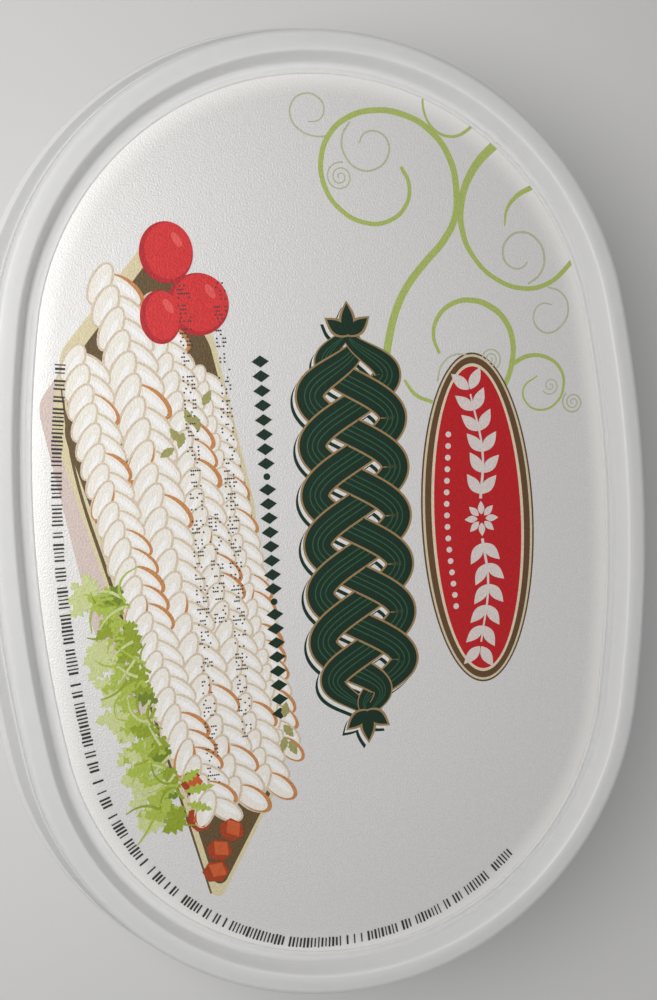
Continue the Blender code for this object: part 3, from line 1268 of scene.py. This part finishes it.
def small_print():
    """The ring of small print along the lower edge and round the right end, as plain upright ticks."""
    ink = Ink("fine_marks", display(44, 42, 40), grain_depth=0.5)
    marks = []
    for degrees in range(-98, 46, 6):
        if degrees < -15:
            share = (degrees + 98) / 83
            offset = -10.4 + 2.4 * share
        else:
            share = (degrees + 15) / 59
            offset = -8.0 - 1.4 * share
        marks.append(oval_spot(degrees, offset))
    tick = [(-0.12, -0.88), (0.12, -0.88), (0.12, 0.88), (-0.12, 0.88)]
    ink.stamps(marks, tick, 30, 0.62, least=(0.7, 0.8), most=(1.5, 1.0), keep=0.82, seed=4)
    ink.finish()


def dot_rows():
    """Date-coder dots in three rows: random dots in groups, which spell nothing."""
    ink = Ink("coder_dots", display(58, 54, 56), grain_depth=0.5)
    ink.dots(30, -39.6, -16.9, 20, 6, 0.42, 3)
    ink.dots(30, -3.0, -19.9, 5, 6, 0.42, 5)
    ink.dots(30, -40.0, -22.6, 22, 6, 0.42, 8)
    ink.finish()


DARK_GREEN = display(13, 40, 26)
GILT = display(136, 112, 76)
PEARL = (0.80, 0.80, 0.795)
DISH_GAIN = 1.2
scrolls()
plait_band()
lozenge_row()
plaque()
dish_picture()
small_print()
dot_rows()


# ---------------------------------------------------------------- stage, light and camera

def floor_sheet():
    mesh = bpy.data.meshes.new("floor")
    half = 3.0
    mesh.from_pydata(
        [(-half, -half, 0.0), (half, -half, 0.0), (half, half, 0.0), (-half, half, 0.0)], [], [(0, 1, 2, 3)]
    )
    made = bpy.data.objects.new("floor", mesh)
    bpy.context.scene.collection.objects.link(made)
    material, board = finish_board("pale_floor")
    place = board.field("ShaderNodeTexCoord", None, None, 3)
    shader = board.add("ShaderNodeBsdfPrincipled")
    board.feed(shader.inputs["Base Color"], tint(board, grain(board, place, 8.0), (0.83, 0.83, 0.825), (0.87, 0.87, 0.865)))
    shader.inputs["Roughness"].default_value = 0.8
    output(board, shader)
    mesh.materials.append(material)
    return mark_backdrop(made)


def softbox(name, place, aim, size, watts, colour):
    lamp = bpy.data.lights.new(name, "AREA")
    lamp.shape = "DISK"
    lamp.size = size
    lamp.energy = watts
    lamp.color = colour
    made = bpy.data.objects.new(name, lamp)
    bpy.context.scene.collection.objects.link(made)
    made.location = place
    made.rotation_euler = (Vector(aim) - Vector(place)).to_track_quat("-Z", "Y").to_euler()
    return made


def place_camera():
    """Looks down on the lid, tilted off the vertical and turned a little in its own plane."""
    tilt = math.radians(13.88)
    heading = math.radians(200.15)
    roll = math.radians(4.18)
    distance = 193.06 * MM
    aim = Vector((-4.27 * MM, -1.71 * MM, TOP))
    toward = Vector((math.sin(tilt) * math.sin(heading), math.sin(tilt) * math.cos(heading), math.cos(tilt)))
    right = Vector((0.0, 1.0, 0.0))
    right = (right - right.dot(toward) * toward).normalized()
    down = Vector((1.0, 0.0, 0.0))
    down = (down - down.dot(toward) * toward - down.dot(right) * right).normalized()
    turned_right = math.cos(roll) * right + math.sin(roll) * down
    turned_up = math.sin(roll) * right - math.cos(roll) * down
    lens = bpy.data.cameras.new("camera")
    lens.sensor_fit = "VERTICAL"
    lens.sensor_height = 24.0
    lens.lens = 28.8
    lens.clip_start = 0.01
    made = bpy.data.objects.new("camera", lens)
    bpy.context.scene.collection.objects.link(made)
    made.matrix_world = Matrix.Translation(aim + toward * distance) @ Matrix(
        (turned_right, turned_up, toward)
    ).transposed().to_4x4()
    bpy.context.scene.camera = made


floor_sheet()
softbox("key_softbox", (-0.05, -0.13, 0.27), (-0.01, -0.02, 0.05), 0.14, 0.43, (1.0, 0.985, 0.965))
softbox("fill_softbox", (0.35, 0.40, 0.45), (0.0, 0.0, 0.03), 0.5, 0.20, (1.0, 1.0, 1.0))
world = bpy.data.worlds.new("studio")
world.use_nodes = True
world.node_tree.nodes["Background"].inputs["Color"].default_value = (1.0, 1.0, 1.0, 1.0)
world.node_tree.nodes["Background"].inputs["Strength"].default_value = 0.265
bpy.context.scene.world = world
bpy.context.scene.view_settings.view_transform = "Standard"
place_camera()
